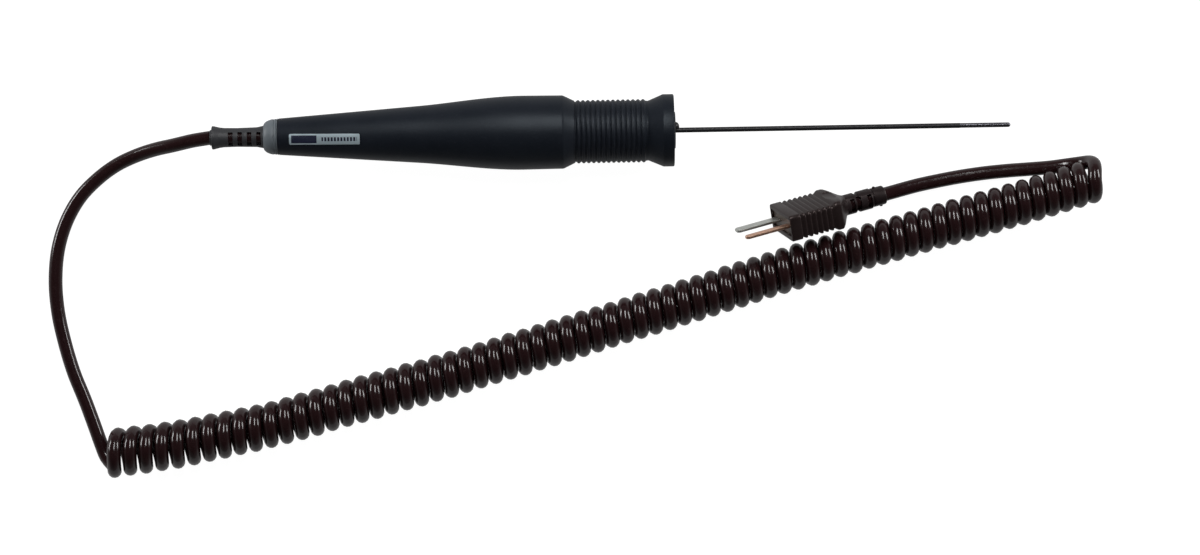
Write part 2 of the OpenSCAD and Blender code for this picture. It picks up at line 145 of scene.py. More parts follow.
def rounded(corners: Sequence[Corner], steps: int = 5) -> Outline:
    """Turns a closed outline's corners into arcs.

    Args:
        corners: The outline's corners in order.
        steps: Straight pieces in each arc.

    Returns:
        The outline's points.
    """
    points: Outline = []
    count = len(corners)
    for i, corner in enumerate(corners):
        here = Vector((corner.x, corner.r))
        before = Vector((corners[i - 1].x, corners[i - 1].r)) - here
        after = Vector((corners[(i + 1) % count].x, corners[(i + 1) % count].r)) - here
        angle = before.angle(after)
        if corner.fillet <= 0 or angle > math.pi - 0.03:
            points.append((here.x, here.y))
            continue
        reach = min(corner.fillet / math.tan(angle / 2), 0.45 * min(before.length, after.length))
        radius = reach * math.tan(angle / 2)
        middle = here + (before.normalized() + after.normalized()).normalized() * radius / math.sin(angle / 2)
        start = here + before.normalized() * reach - middle
        end = here + after.normalized() * reach - middle
        turn = math.atan2(start.x * end.y - start.y * end.x, start.dot(end))
        for k in range(steps + 1):
            a = turn * k / steps
            points.append((middle.x + start.x * math.cos(a) - start.y * math.sin(a),
                           middle.y + start.x * math.sin(a) + start.y * math.cos(a)))
    return points


def lathe(name: str, outline: Outline, place: Matrix, segments: int = 96) -> bpy.types.Object:
    """Turns a closed outline around the x axis of a frame.

    Args:
        name: The object's name.
        outline: Points as (distance along the axis, radius) in millimetres.
        place: The frame, from millimetres to the model's metres.
        segments: Faces around the axis.

    Returns:
        The turned piece.
    """
    verts = [place @ Vector((x, r * math.cos(TAU * k / segments), r * math.sin(TAU * k / segments)))
             for x, r in outline for k in range(segments)]
    count = len(outline)
    faces = [(i * segments + k, i * segments + (k + 1) % segments,
              (i + 1) % count * segments + (k + 1) % segments, (i + 1) % count * segments + k)
             for i in range(count) for k in range(segments)]
    return new_piece(name, verts, faces)


def loft(name: str, rings: Sequence[Sequence[Vector]], place: Matrix) -> bpy.types.Object:
    """Skins closed rings of the same number of points and caps both ends.

    Args:
        name: The object's name.
        rings: The rings in order, in millimetres.
        place: The frame, from millimetres to the model's metres.

    Returns:
        The lofted piece.
    """
    sides = len(rings[0])
    verts = [place @ point for ring in rings for point in ring]
    faces: list[Sequence[int]] = [list(range(sides))[::-1]]
    for i in range(len(rings) - 1):
        for k in range(sides):
            a, b = i * sides + k, i * sides + (k + 1) % sides
            faces.append((a, b, b + sides, a + sides))
    faces.append([(len(rings) - 1) * sides + k for k in range(sides)])
    return new_piece(name, verts, faces)


def rounded_rectangle(x: float, half_w: float, half_t: float, corner: float, steps: int = 5) -> list[Vector]:
    """Ring in the shape of a rectangle with round corners, across the x axis.

    Args:
        x: Its distance along the axis.
        half_w: Half its width along y.
        half_t: Half its thickness along z.
        corner: Radius of its corners.
        steps: Straight pieces in each corner.

    Returns:
        The ring's points.
    """
    corner = min(corner, half_w * 0.999, half_t * 0.999)
    ring = []
    for quarter, (sy, sz) in enumerate(((1, 1), (-1, 1), (-1, -1), (1, -1))):
        for k in range(steps + 1):
            a = math.pi / 2 * (quarter + k / steps)
            ring.append(Vector((x, sy * (half_w - corner) + corner * math.cos(a),
                                sz * (half_t - corner) + corner * math.sin(a))))
    return ring


def block(name: str, low: Point, high: Point, place: Matrix) -> bpy.types.Object:
    """Makes a box between two corners, used as a cutter.

    Args:
        name: The object's name.
        low: Its lowest corner in millimetres.
        high: Its highest corner in millimetres.
        place: The frame, from millimetres to the model's metres.

    Returns:
        The box.
    """
    rings = [[Vector((x, y, z)) for y, z in ((low[1], low[2]), (high[1], low[2]),
                                             (high[1], high[2]), (low[1], high[2]))]
             for x in (low[0], high[0])]
    return loft(name, rings, place)


def window(name: str, middle: float, length: float, width: float, reach: float,
           axis: Axis, place: Matrix) -> bpy.types.Object:
    """Cutter for a slot that passes through a round piece.

    Args:
        name: The object's name.
        middle: Distance of the slot's middle along the axis.
        length: Slot size along the axis.
        width: Slot size across it.
        reach: How far the cutter reaches out of the piece on each side.
        axis: Direction in which the slot is open.
        place: The frame, from millimetres to the model's metres.

    Returns:
        The cutter.
    """
    y, z = (reach, width / 2) if axis is Axis.SIDEWAYS else (width / 2, reach)
    return block(name, (middle - length / 2, -y, -z), (middle + length / 2, y, z), place)


def apply_modifiers(piece: bpy.types.Object) -> None:
    """Turns a piece's modifiers into its mesh.

    Args:
        piece: The object to work on.
    """
    evaluated = piece.evaluated_get(bpy.context.evaluated_depsgraph_get())
    mesh = bpy.data.meshes.new_from_object(evaluated)
    old = piece.data
    piece.modifiers.clear()
    piece.data = mesh
    bpy.data.meshes.remove(old)


def combine(piece: bpy.types.Object, others: Sequence[bpy.types.Object], how: Solid) -> None:
    """Cuts other shapes out of a piece, or joins them to it, and removes them.

    Args:
        piece: The piece to change.
        others: The shapes, which are used up.
        how: Whether they are cut out or joined.
    """
    for other in others:
        change = piece.modifiers.new("combine", "BOOLEAN")
        change.operation = how.value
        change.solver = "EXACT"
        change.object = other
    apply_modifiers(piece)
    for other in others:
        mesh = other.data
        bpy.data.objects.remove(other)
        bpy.data.meshes.remove(mesh)


def soften_edges(piece: bpy.types.Object, width: float, segments: int = 2) -> None:
    """Rounds a piece's sharp edges slightly, as a mould leaves them.

    Args:
        piece: The piece to change.
        width: Width of the rounding in millimetres.
        segments: Faces across the rounding.
    """
    bevel = piece.modifiers.new("edges", "BEVEL")
    bevel.width = width * MM
    bevel.segments = segments
    bevel.limit_method = "ANGLE"
    bevel.angle_limit = SMOOTH_ANGLE
    bevel.harden_normals = False
    apply_modifiers(piece)
    smooth(piece)


def ease(t: float) -> float:
    """Smooth step from 0 to 1, with no slope at either end."""
    t = min(max(t, 0.0), 1.0)
    return t * t * (3 - 2 * t)


# ------------------------------------------------------------------ shader helpers


class Graph:
    """Adds and links the nodes of one material or node group."""

    def __init__(self, tree: bpy.types.NodeTree) -> None:
        """Starts on an empty tree."""
        self.tree = tree
        tree.nodes.clear()

    def node(self, kind: str, inputs: dict | None = None, **settings: object) -> bpy.types.Node:
        """Adds a node.

        Args:
            kind: The node's type name.
            inputs: Socket name or number to a value, or to a socket to link from.
            settings: Attributes to set on the node first.

        Returns:
            The new node.
        """
        made = self.tree.nodes.new(kind)
        for key, value in settings.items():
            setattr(made, key, value)
        for key, value in (inputs or {}).items():
            if isinstance(value, bpy.types.NodeSocket):
                self.tree.links.new(value, made.inputs[key])
            else:
                made.inputs[key].default_value = value
        return made

    def math(self, operation: str, a: object, b: object = 0.0, clamp: bool = False) -> bpy.types.NodeSocket:
        """Adds a sum on one or two values.

        Args:
            operation: The sum's name.
            a: First value or socket.
            b: Second value or socket.
            clamp: Whether the result stays between 0 and 1.

        Returns:
            The result's socket.
        """
        return self.node("ShaderNodeMath", {0: a, 1: b}, operation=operation, use_clamp=clamp).outputs[0]

    def noise(self, where: object, scale: object, detail: float, rough: float = 0.5) -> bpy.types.NodeSocket:
        """Adds a noise texture.

        Args:
            where: Socket with the place.
            scale: Cells in a metre.
            detail: Number of finer layers.
            rough: Weight of the finer layers.

        Returns:
            Socket with a value around 0.5.
        """
        return self.node("ShaderNodeTexNoise", {"Vector": where, "Scale": scale, "Detail": detail,
                                                "Roughness": rough}).outputs["Fac"]

    def remap(self, value: object, low: object, high: object, to_low: object = 0.0,
              to_high: object = 1.0) -> bpy.types.NodeSocket:
        """Adds a clamped change of range.

        Args:
            value: Socket to change.
            low: Value that becomes to_low.
            high: Value that becomes to_high.
            to_low: Start of the new range.
            to_high: End of the new range.

        Returns:
            The result's socket.
        """
        return self.node("ShaderNodeMapRange", {"Value": value, "From Min": low, "From Max": high,
                                                "To Min": to_low, "To Max": to_high}).outputs[0]

    def blend(self, factor: object, a: object, b: object) -> bpy.types.NodeSocket:
        """Adds a blend of two colours.

        Args:
            factor: 0 for the first colour, 1 for the second.
            a: First colour.
            b: Second colour.

        Returns:
            The blended colour's socket.
        """
        return self.node("ShaderNodeMix", {0: factor, 6: a, 7: b}, data_type="RGBA").outputs[2]

    def place(self) -> bpy.types.NodeSocket:
        """Adds the point's place in the part's own frame, in metres."""
        return self.node("ShaderNodeTexCoord").outputs["Object"]


class Effects:
    """Shader node groups that the finishes share, each built once."""

    def __init__(self) -> None:
        """Builds every group."""
        self.grain = self._group("fine_grain", {"Scale": 2600.0, "Speckle": 0.5}, ("Height", "Mask"),
                                 self._grain)
        self.wear_and_sheen = self._group("edge_wear_and_sheen", {"Radius": 0.0003, "Amount": 0.5}, ("Mask",), self._wear_and_sheen)
        self.dust = self._group("settled_dust", {"Amount": 0.3, "Scale": 900.0}, ("Mask",), self._dust)
        self.streaks = self._group("drawn_lines", {"Scale": 9000.0, "Length": 0.02}, ("Height", "Mask"),
                                   self._streaks)

    @staticmethod
    def _group(name: str, values: dict[str, float], results: Sequence[str],
               fill: Callable[[Graph, dict], dict]) -> bpy.types.NodeTree:
        """Makes a node group with named inputs and outputs.

        Args:
            name: The group's name.
            values: Input names and their usual values.
            results: Output names.
            fill: Adds the group's nodes and returns a socket for each output.

        Returns:
            The group.
        """
        tree = bpy.data.node_groups.new(name, "ShaderNodeTree")
        graph = Graph(tree)
        for label, value in values.items():
            socket = tree.interface.new_socket(name=label, in_out="INPUT", socket_type="NodeSocketFloat")
            socket.default_value = value
        for label in results:
            tree.interface.new_socket(name=label, in_out="OUTPUT", socket_type="NodeSocketFloat")
        entry = graph.node("NodeGroupInput")
        sockets = fill(graph, {label: entry.outputs[label] for label in values})
        graph.node("NodeGroupOutput", {label: sockets[label] for label in results})
        return tree

    @staticmethod
    def _grain(g: Graph, given: dict) -> dict:
        """Fine spark-eroded texture with a slow unevenness on top."""
        where = g.place()
        fine = g.noise(where, given["Scale"], 3.0, 0.6)
        slow = g.noise(where, g.math("MULTIPLY", given["Scale"], 0.06), 2.0)
        speckle = g.math("MULTIPLY", g.remap(fine, 0.55, 0.75), given["Speckle"])
        return {"Height": fine, "Mask": g.math("ADD", speckle, g.math("MULTIPLY", slow, 0.5), clamp=True)}

    @staticmethod
    def _wear_and_sheen(g: Graph, given: dict) -> dict:
        """Rubbed edges, paler along crests and creases where the rounded normal leaves the true one: partly
        real wear, partly a painted highlight.
        """
        soft = g.node("ShaderNodeBevel", {"Radius": given["Radius"]}, samples=6).outputs[0]
        true = g.node("ShaderNodeNewGeometry").outputs["Normal"]
        dot = g.node("ShaderNodeVectorMath", {0: soft, 1: true}, operation="DOT_PRODUCT").outputs["Value"]
        edge = g.remap(g.math("SUBTRACT", 1.0, dot), 0.005, 0.12)
        patchy = g.remap(g.noise(g.place(), 1400.0, 4.0, 0.65), 0.35, 0.7)
        return {"Mask": g.math("MULTIPLY", g.math("MULTIPLY", edge, patchy), given["Amount"], clamp=True)}

    @staticmethod
    def _dust(g: Graph, given: dict) -> dict:
        """Dust and finger marks on the surfaces that face up."""
        normal = g.node("ShaderNodeNewGeometry").outputs["Normal"]
        up = g.remap(g.node("ShaderNodeSeparateXYZ", {0: normal}).outputs["Z"], 0.2, 1.0)
        patches = g.remap(g.noise(g.place(), g.math("MULTIPLY", given["Scale"], 0.08), 3.0), 0.4, 0.7)
        specks = g.remap(g.noise(g.place(), given["Scale"], 2.0, 0.7), 0.62, 0.74)
        mixed = g.math("ADD", g.math("MULTIPLY", patches, 0.4), specks, clamp=True)
        return {"Mask": g.math("MULTIPLY", g.math("MULTIPLY", mixed, up), given["Amount"], clamp=True)}

    @staticmethod
    def _streaks(g: Graph, given: dict) -> dict:
        """Fine lines along the x axis, as drawing or rolling leaves them."""
        short = g.node("ShaderNodeCombineXYZ", {0: given["Length"], 1: 1.0, 2: 1.0}).outputs[0]
        where = g.node("ShaderNodeVectorMath", {0: g.place(), 1: short}, operation="MULTIPLY").outputs[0]
        lines = g.noise(where, given["Scale"], 2.0, 0.55)
        return {"Height": lines, "Mask": g.remap(lines, 0.42, 0.68)}


def new_material(name: str) -> tuple[bpy.types.Material, Graph]:
    """Makes a material with an empty node tree.

    Args:
        name: The material's name.

    Returns:
        The material and a Graph on its tree.
    """
    material = bpy.data.materials.new(name)
    material.use_nodes = True
    return material, Graph(material.node_tree)


def finish_surface(graph: Graph, shader: bpy.types.Node) -> None:
    """Links a shader to the material's output.

    Args:
        graph: The material's graph.
        shader: The shader's node.
    """
    graph.node("ShaderNodeOutputMaterial", {"Surface": shader.outputs[0]})


@dataclass(frozen=True)
class Moulded:
    """Injection-moulded plastic or rubber with a fine mould texture."""

    name: str
    colour: Colour
    pale: Colour
    roughness: float = 0.42
    spread: float = 0.14
    scale: float = 2600.0
    depth: float = 0.000012
    wear_and_sheen: float = 0.35
    dust: float = 0.12
    coat: float = 0.0
    specular: float = 0.5
    tint: Colour = (1, 1, 1, 1)

    def material(self, effects: Effects) -> bpy.types.Material:
        """Builds the material.

        Args:
            effects: The shared node groups.

        Returns:
            The material.
        """
        made, g = new_material(self.name)
        grain = g.node("ShaderNodeGroup", {"Scale": self.scale}, node_tree=effects.grain)
        wear_and_sheen = g.node("ShaderNodeGroup", {"Amount": self.wear_and_sheen}, node_tree=effects.wear_and_sheen)
        dust = g.node("ShaderNodeGroup", {"Amount": self.dust}, node_tree=effects.dust)
        # The edge mask pales edges and rib crests: partly real rubbing, partly a painted highlight. The dust
        # mask pales the faces that look up.
        marks = g.math("MAXIMUM", wear_and_sheen.outputs["Mask"], dust.outputs["Mask"])
        tone = g.math("ADD", g.math("MULTIPLY", grain.outputs["Mask"], 0.15), marks, clamp=True)
        height = g.math("ADD", grain.outputs["Height"], g.math("MULTIPLY", dust.outputs["Mask"], 0.3))
        shader = g.node("ShaderNodeBsdfPrincipled", {
            "Base Color": g.blend(tone, self.colour, self.pale),
            "Roughness": g.remap(g.math("ADD", grain.outputs["Mask"], marks), 0.0, 1.2,
                                 self.roughness - self.spread / 2, self.roughness + self.spread),
            "Specular IOR Level": self.specular, "Specular Tint": self.tint,
            "Coat Weight": self.coat, "Coat Roughness": 0.2,
            "Normal": g.node("ShaderNodeBump", {"Height": height, "Strength": 0.6,
                                                "Distance": self.depth}).outputs[0]})
        finish_surface(g, shader)
        return made


@dataclass(frozen=True)
class Jacket:
    """Glossy extruded cord jacket with slow waviness and dull scuffs."""

    name: str
    colour: Colour
    scuffed: Colour
    roughness: float = 0.3
    coat: float = 0.25

    def material(self, effects: Effects) -> bpy.types.Material:
        """Builds the material.

        Args:
            effects: The shared node groups.

        Returns:
            The material.
        """
        made, g = new_material(self.name)
        where = g.place()
        grain = g.node("ShaderNodeGroup", {"Scale": 3200.0, "Speckle": 0.3}, node_tree=effects.grain)
        dust = g.node("ShaderNodeGroup", {"Amount": 0.15}, node_tree=effects.dust)
        waves = g.noise(where, 420.0, 2.0)
        scuffs = g.remap(g.noise(where, 700.0, 5.0, 0.7), 0.56, 0.75)
        tone = g.math("MAXIMUM", g.math("MULTIPLY", scuffs, 0.35), dust.outputs["Mask"])
        height = g.math("ADD", g.math("MULTIPLY", waves, 4.0),
                        g.math("MULTIPLY", grain.outputs["Height"], 0.4))
        shader = g.node("ShaderNodeBsdfPrincipled", {
            "Base Color": g.blend(tone, self.colour, self.scuffed),
            "Roughness": g.remap(g.math("ADD", tone, g.math("MULTIPLY", grain.outputs["Mask"], 0.4)),
                                 0.0, 1.0, self.roughness - 0.05, self.roughness + 0.3),
            "Specular IOR Level": 0.5, "Coat Weight": self.coat, "Coat Roughness": 0.15,
            "Normal": g.node("ShaderNodeBump", {"Height": height, "Strength": 0.5,
                                                "Distance": 0.00002}).outputs[0]})
        finish_surface(g, shader)
        return made


@dataclass(frozen=True)
class Metal:
    """Drawn or rolled metal with fine lines along it and dull patches."""

    name: str
    colour: Colour
    tarnish: Colour
    roughness: float = 0.3
    lines: float = 9000.0
    dulling: float = 0.4

    def material(self, effects: Effects) -> bpy.types.Material:
        """Builds the material.

        Args:
            effects: The shared node groups.

        Returns:
            The material.
        """
        made, g = new_material(self.name)
        lines = g.node("ShaderNodeGroup", {"Scale": self.lines}, node_tree=effects.streaks)
        wear_and_sheen = g.node("ShaderNodeGroup", {"Amount": 0.4, "Radius": 0.00015}, node_tree=effects.wear_and_sheen)
        patches = g.math("MULTIPLY", g.remap(g.noise(g.place(), 900.0, 4.0, 0.6), 0.4, 0.72), self.dulling)
        dull = g.math("SUBTRACT", patches, wear_and_sheen.outputs["Mask"], clamp=True)
        shader = g.node("ShaderNodeBsdfPrincipled", {
            "Base Color": g.blend(dull, self.colour, self.tarnish), "Metallic": 1.0,
            "Roughness": g.remap(g.math("ADD", g.math("MULTIPLY", lines.outputs["Mask"], 0.5), dull),
                                 0.0, 1.2, self.roughness, self.roughness + 0.25),
            "Normal": g.node("ShaderNodeBump", {"Height": lines.outputs["Height"], "Strength": 0.4,
                                                "Distance": 0.000006}).outputs[0]})
        finish_surface(g, shader)
        return made


@dataclass(frozen=True)
class Cast:
    """Cast resin or pressed powder, cloudy and slightly rough."""

    name: str
    colour: Colour
    cloud: Colour
    roughness: float = 0.6

    def material(self, effects: Effects) -> bpy.types.Material:
        """Builds the material.

        Args:
            effects: The shared node groups.

        Returns:
            The material.
        """
        made, g = new_material(self.name)
        grain = g.node("ShaderNodeGroup", {"Scale": 5000.0, "Speckle": 0.7}, node_tree=effects.grain)
        clouds = g.remap(g.noise(g.place(), 1100.0, 4.0, 0.6), 0.35, 0.7)
        shader = g.node("ShaderNodeBsdfPrincipled", {
            "Base Color": g.blend(clouds, self.colour, self.cloud),
            "Roughness": g.remap(grain.outputs["Mask"], 0.0, 1.0, self.roughness - 0.1, self.roughness + 0.2),
            "Normal": g.node("ShaderNodeBump", {"Height": grain.outputs["Height"], "Strength": 0.5,
                                                "Distance": 0.00001}).outputs[0]})
        finish_surface(g, shader)
        return made


@dataclass(frozen=True)
class PrintedFoil:
    """Silvery label foil with one printed block and a row of plain bars that say nothing."""

    name: str
    foil: Colour
    ink: Colour
    block: tuple[float, float, float, float] = (0.03, 0.39, 0.14, 0.86)
    bars: tuple[float, float, float, float] = (0.46, 0.96, 0.32, 0.68)
    marks: float = 22.0

    def material(self, effects: Effects) -> bpy.types.Material:
        """Builds the material.

        Args:
            effects: The shared node groups.

        Returns:
            The material.
        """
        made, g = new_material(self.name)
        lines = g.node("ShaderNodeGroup", {"Scale": 5000.0}, node_tree=effects.streaks)
        split = g.node("ShaderNodeSeparateXYZ", {0: g.node("ShaderNodeUVMap").outputs[0]})
        along, across = split.outputs["X"], split.outputs["Y"]
        fields = []
        for left, right, low, high in (self.block, self.bars):
            wide = g.math("MULTIPLY", g.math("GREATER_THAN", along, left), g.math("LESS_THAN", along, right))
            tall = g.math("MULTIPLY", g.math("GREATER_THAN", across, low), g.math("LESS_THAN", across, high))
            fields.append(g.math("MULTIPLY", wide, tall))
        dash = g.math("LESS_THAN", g.math("FRACT", g.math("MULTIPLY", along, self.marks)), 0.62)
        printed = g.math("MAXIMUM", fields[0], g.math("MULTIPLY", fields[1], dash))
        worn = g.remap(g.noise(g.place(), 2600.0, 3.0, 0.6), 0.2, 0.34, 0.6, 1.0)
        print_mask = g.math("MULTIPLY", printed, worn)
        shader = g.node("ShaderNodeBsdfPrincipled", {
            "Base Color": g.blend(print_mask, self.foil, self.ink),
            "Metallic": g.math("SUBTRACT", 0.45, g.math("MULTIPLY", print_mask, 0.4)),
            "Roughness": g.remap(lines.outputs["Mask"], 0.0, 1.0, 0.32, 0.5),
            "Normal": g.node("ShaderNodeBump", {"Height": lines.outputs["Height"], "Strength": 0.3,
                                                "Distance": 0.000008}).outputs[0]})
        finish_surface(g, shader)
        return made


class Palette:
    """The finishes of this object, each made into a material once."""

    FINISHES = {
        # The large edge amounts on the handle, plug and neck paint highlights on rib crests and edges, on top
        # of real rubbing.
        "handle_polymer": Moulded("handle_plastic", (0.0075, 0.0098, 0.015, 1), (0.075, 0.084, 0.105, 1),
                                  roughness=0.44, specular=0.22, wear_and_sheen=0.9, dust=0.06,
                                  tint=(0.82, 0.92, 1, 1)),
        "bush_polymer": Moulded("bush_plastic", (0.013, 0.014, 0.017, 1), (0.045, 0.047, 0.055, 1),
                                specular=0.4),
        "cap_polymer": Moulded("cap_plastic", (0.135, 0.157, 0.175, 1), (0.24, 0.27, 0.29, 1), roughness=0.5),
        "boot_rubber": Moulded("boot_rubber", (0.036, 0.037, 0.041, 1), (0.09, 0.09, 0.097, 1),
                               roughness=0.52, scale=3400.0, specular=0.4),
        "label_foil": PrintedFoil("label_foil", (0.56, 0.68, 0.74, 1), (0.016, 0.02, 0.045, 1)),
        "adhesive": Cast("adhesive_bead", (0.008, 0.008, 0.01, 1), (0.02, 0.02, 0.023, 1), roughness=0.3),
        "stem_coating": Moulded("stem_coating", (0.01, 0.01, 0.0125, 1), (0.035, 0.035, 0.04, 1),
                                roughness=0.46, scale=6000.0, specular=0.35),
        "sheath_steel": Metal("bare_sheath", (0.2, 0.2, 0.225, 1), (0.1, 0.1, 0.115, 1), roughness=0.2),
        "magnesia": Cast("pressed_magnesia", (0.78, 0.76, 0.7, 1), (0.88, 0.87, 0.83, 1), roughness=0.85),
        "copper": Metal("copper", (0.95, 0.6, 0.44, 1), (0.75, 0.44, 0.31, 1), roughness=0.3),
        "constantan": Metal("constantan", (0.8, 0.82, 0.78, 1), (0.6, 0.61, 0.57, 1), roughness=0.34),
        "junction_weld": Metal("junction_weld", (0.4, 0.33, 0.27, 1), (0.2, 0.16, 0.13, 1), roughness=0.45),
        "pot_steel": Metal("pot_steel", (0.56, 0.57, 0.58, 1), (0.36, 0.36, 0.37, 1)),
        "pot_resin": Cast("pot_resin", (0.16, 0.09, 0.05, 1), (0.25, 0.15, 0.08, 1), roughness=0.35),
        "tinned_metal": Metal("tinned_metal", (0.66, 0.67, 0.68, 1), (0.45, 0.45, 0.45, 1), roughness=0.35),
        "sleeve_polymer": Moulded("sleeve_plastic", (0.62, 0.58, 0.47, 1), (0.75, 0.72, 0.62, 1)),
        "core_brown": Jacket("brown_core", (0.16, 0.07, 0.035, 1), (0.25, 0.14, 0.09, 1), roughness=0.4),
        "core_white": Jacket("white_core", (0.66, 0.66, 0.62, 1), (0.5, 0.49, 0.45, 1), roughness=0.4),
        "anchor_brass": Metal("anchor_brass", (0.62, 0.44, 0.2, 1), (0.36, 0.25, 0.12, 1)),
        "cord_jacket": Jacket("cord_jacket", (0.0195, 0.0072, 0.0078, 1), (0.055, 0.029, 0.03, 1),
                              roughness=0.17, coat=0.0),
        "plug_polymer": Moulded("plug_plastic", (0.0125, 0.0078, 0.0078, 1), (0.085, 0.06, 0.058, 1),
                                roughness=0.36, scale=3000.0, specular=0.46, wear_and_sheen=0.8,
                                tint=(1, 0.82, 0.8, 1)),
        "neck_polymer": Moulded("neck_plastic", (0.0105, 0.0068, 0.0072, 1), (0.07, 0.05, 0.052, 1),
                                roughness=0.38, scale=3000.0, specular=0.42, wear_and_sheen=0.7,
                                tint=(1, 0.84, 0.84, 1)),
        "carrier_polymer": Moulded("carrier_plastic", (0.1, 0.07, 0.055, 1), (0.18, 0.14, 0.12, 1)),
    }

    def __init__(self, effects: Effects) -> None:
        """Keeps the shared effects and starts with no materials."""
        self.effects = effects
        self.made: dict[str, bpy.types.Material] = {}

    def material(self, slot: str) -> bpy.types.Material:
        """Gives a record slot's material, and builds it on first use.

        Args:
            slot: The slot's name in the record.

        Returns:
            The material.
        """
        if slot not in self.made:
            self.made[slot] = self.FINISHES[slot].material(self.effects)
        return self.made[slot]

    def dress(self, piece: bpy.types.Object, slot: str, nodes: Sequence[str]) -> None:
        """Finishes a new piece and puts it in the place of its CAD nodes.

        Args:
            piece: The piece.
            slot: The record slot of its finish.
            nodes: The CAD nodes that it stands for.
        """
        piece.data.materials.clear()
        piece.data.materials.append(self.material(slot))
        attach(piece, BODY)
        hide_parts(*nodes)
        log.info("%s: %d faces, finish %s, for %s",
                 piece.name, len(piece.data.polygons), slot, ", ".join(nodes))

    def dress_node(self, node: str, slot: str) -> None:
        """Gives a CAD node that stays a better material.

        Args:
            node: The node's name.
            slot: The record slot of its finish.
        """
        kept = frame["nodes"][node]
        if not kept.material_slots:
            kept.data.materials.append(None)
        for place in kept.material_slots:
            place.material = self.material(slot)
        log.info("%s: kept, finish %s", node, slot)


# ------------------------------------------------------------------ studio


@dataclass(frozen=True)
class Softbox:
    """One soft light, placed by the direction that it shines from."""

    name: str
    towards: Point
    distance: float
    width: float
    height: float
    power: float

    def build(self, target: Vector) -> None:
        """Adds the light.

        Args:
            target: The point that it is aimed at, in metres.
        """
        data = bpy.data.lights.new(self.name, "AREA")
        data.shape = "RECTANGLE"
        data.size, data.size_y = self.width, self.height
        data.energy = self.power
        lamp = bpy.data.objects.new(self.name, data)
        bpy.context.scene.collection.objects.link(lamp)
        aim = Vector(self.towards).normalized()
        lamp.location = target + aim * self.distance
        lamp.rotation_euler = aim.to_track_quat("Z", "Y").to_euler()


@dataclass
class Studio:
    """Camera, soft lights and a plain white floor."""

    look_at: tuple[float, float] = (-3.77, -43.41)
    height: float = 1011.0
    roll: float = -0.95
    sensor: float = 36.0
    lens: float = 100.94
    floor_size: float = 3.0
    floor_seen: float = 0.985
    floor_glow: float = 0.34
    zenith: float = 0.025
    horizon: float = 0.21

    LIGHTS = (
        Softbox("main_softbox", (0.0, 0.54, 0.84), 1.1, 0.17, 0.66, 5.6),
        Softbox("left_softbox", (-0.91, 0.37, 0.16), 1.2, 0.55, 0.22, 5.0),
        Softbox("right_softbox", (0.83, 0.42, 0.38), 1.2, 0.55, 0.22, 5.0),
    )

    def build(self) -> None:
        """Makes the camera, the lights, the floor and the surroundings."""
        self._camera()
        target = Vector((self.look_at[0] * MM, self.look_at[1] * MM, 0))
        for light in self.LIGHTS:
            light.build(target)
        self._floor()
        world = bpy.data.worlds.new("surroundings")
        world.use_nodes = True
        g = Graph(world.node_tree)
        direction = g.node("ShaderNodeTexCoord").outputs["Generated"]
        rise = g.node("ShaderNodeSeparateXYZ", {0: direction}).outputs["Z"]
        sky = g.node("ShaderNodeBackground", {"Color": (1, 1, 1, 1),
                                              "Strength": g.remap(rise, 0.0, 0.6, self.horizon, self.zenith)})
        g.node("ShaderNodeOutputWorld", {"Surface": sky.outputs[0]})
        bpy.context.scene.world = world
        bpy.context.scene.view_settings.view_transform = "Standard"
        log.info("studio ready")

    def _camera(self) -> None:
        """Looks straight down on the object."""
        data = bpy.data.cameras.new("camera")
        data.sensor_width = self.sensor
        data.lens = self.lens
        camera = bpy.data.objects.new("camera", data)
        bpy.context.scene.collection.objects.link(camera)
        camera.location = (self.look_at[0] * MM, self.look_at[1] * MM, self.height * MM)
        camera.rotation_euler = (0, 0, math.radians(self.roll))
        bpy.context.scene.camera = camera

    def _floor(self) -> None:
        """Lays a matt floor that looks white to the camera and lights the object less."""
        half, low = self.floor_size / 2, cad_box[0][2]
        corners = [Vector((x * half, y * half, low)) for x, y in ((-1, -1), (1, -1), (1, 1), (-1, 1))]
        floor = new_piece("floor", corners, [(0, 1, 2, 3)])
        made, g = new_material("white_floor")
        tone = g.remap(g.noise(g.place(), 60.0, 2.0), 0.3, 0.7)
        seen = g.node("ShaderNodeLightPath").outputs["Is Camera Ray"]
        shader = g.node("ShaderNodeBsdfPrincipled", {
            "Base Color": g.blend(tone, (0.2, 0.2, 0.2, 1), (0.23, 0.23, 0.23, 1)), "Roughness": 0.9,
            "Specular IOR Level": 0.0, "Emission Color": (1, 1, 1, 1),
            "Emission Strength": g.remap(seen, 0.0, 1.0, self.floor_glow, self.floor_seen)})
        finish_surface(g, shader)
        floor.data.materials.append(made)


# ------------------------------------------------------------------ cord


def smooth_path(points: Sequence[Vector], step: float) -> list[Vector]:
    """Runs a smooth curve through points that may be unevenly spaced.

    Args:
        points: The points to pass through.
        step: Greatest distance between the curve's own points.

    Returns:
        Points along the curve.
    """
    last = len(points) - 1
    gaps = [(points[i + 1] - points[i]).length for i in range(last)]
    slopes = [(points[i + 1] - points[i]) / gaps[i] for i in range(last)]
    tangents = [slopes[0]] + [(slopes[i - 1] * gaps[i] + slopes[i] * gaps[i - 1]) / (gaps[i - 1] + gaps[i])
                              for i in range(1, last)] + [slopes[-1]]
    path = [points[0].copy()]
    for i in range(last):
        parts = max(1, math.ceil(gaps[i] / step))
        for k in range(1, parts + 1):
            t = k / parts
            path.append(points[i] * (2 * t**3 - 3 * t**2 + 1) + tangents[i] * gaps[i] * (t**3 - 2 * t**2 + t)
                        + points[i + 1] * (3 * t**2 - 2 * t**3) + tangents[i + 1] * gaps[i] * (t**3 - t**2))
    return path


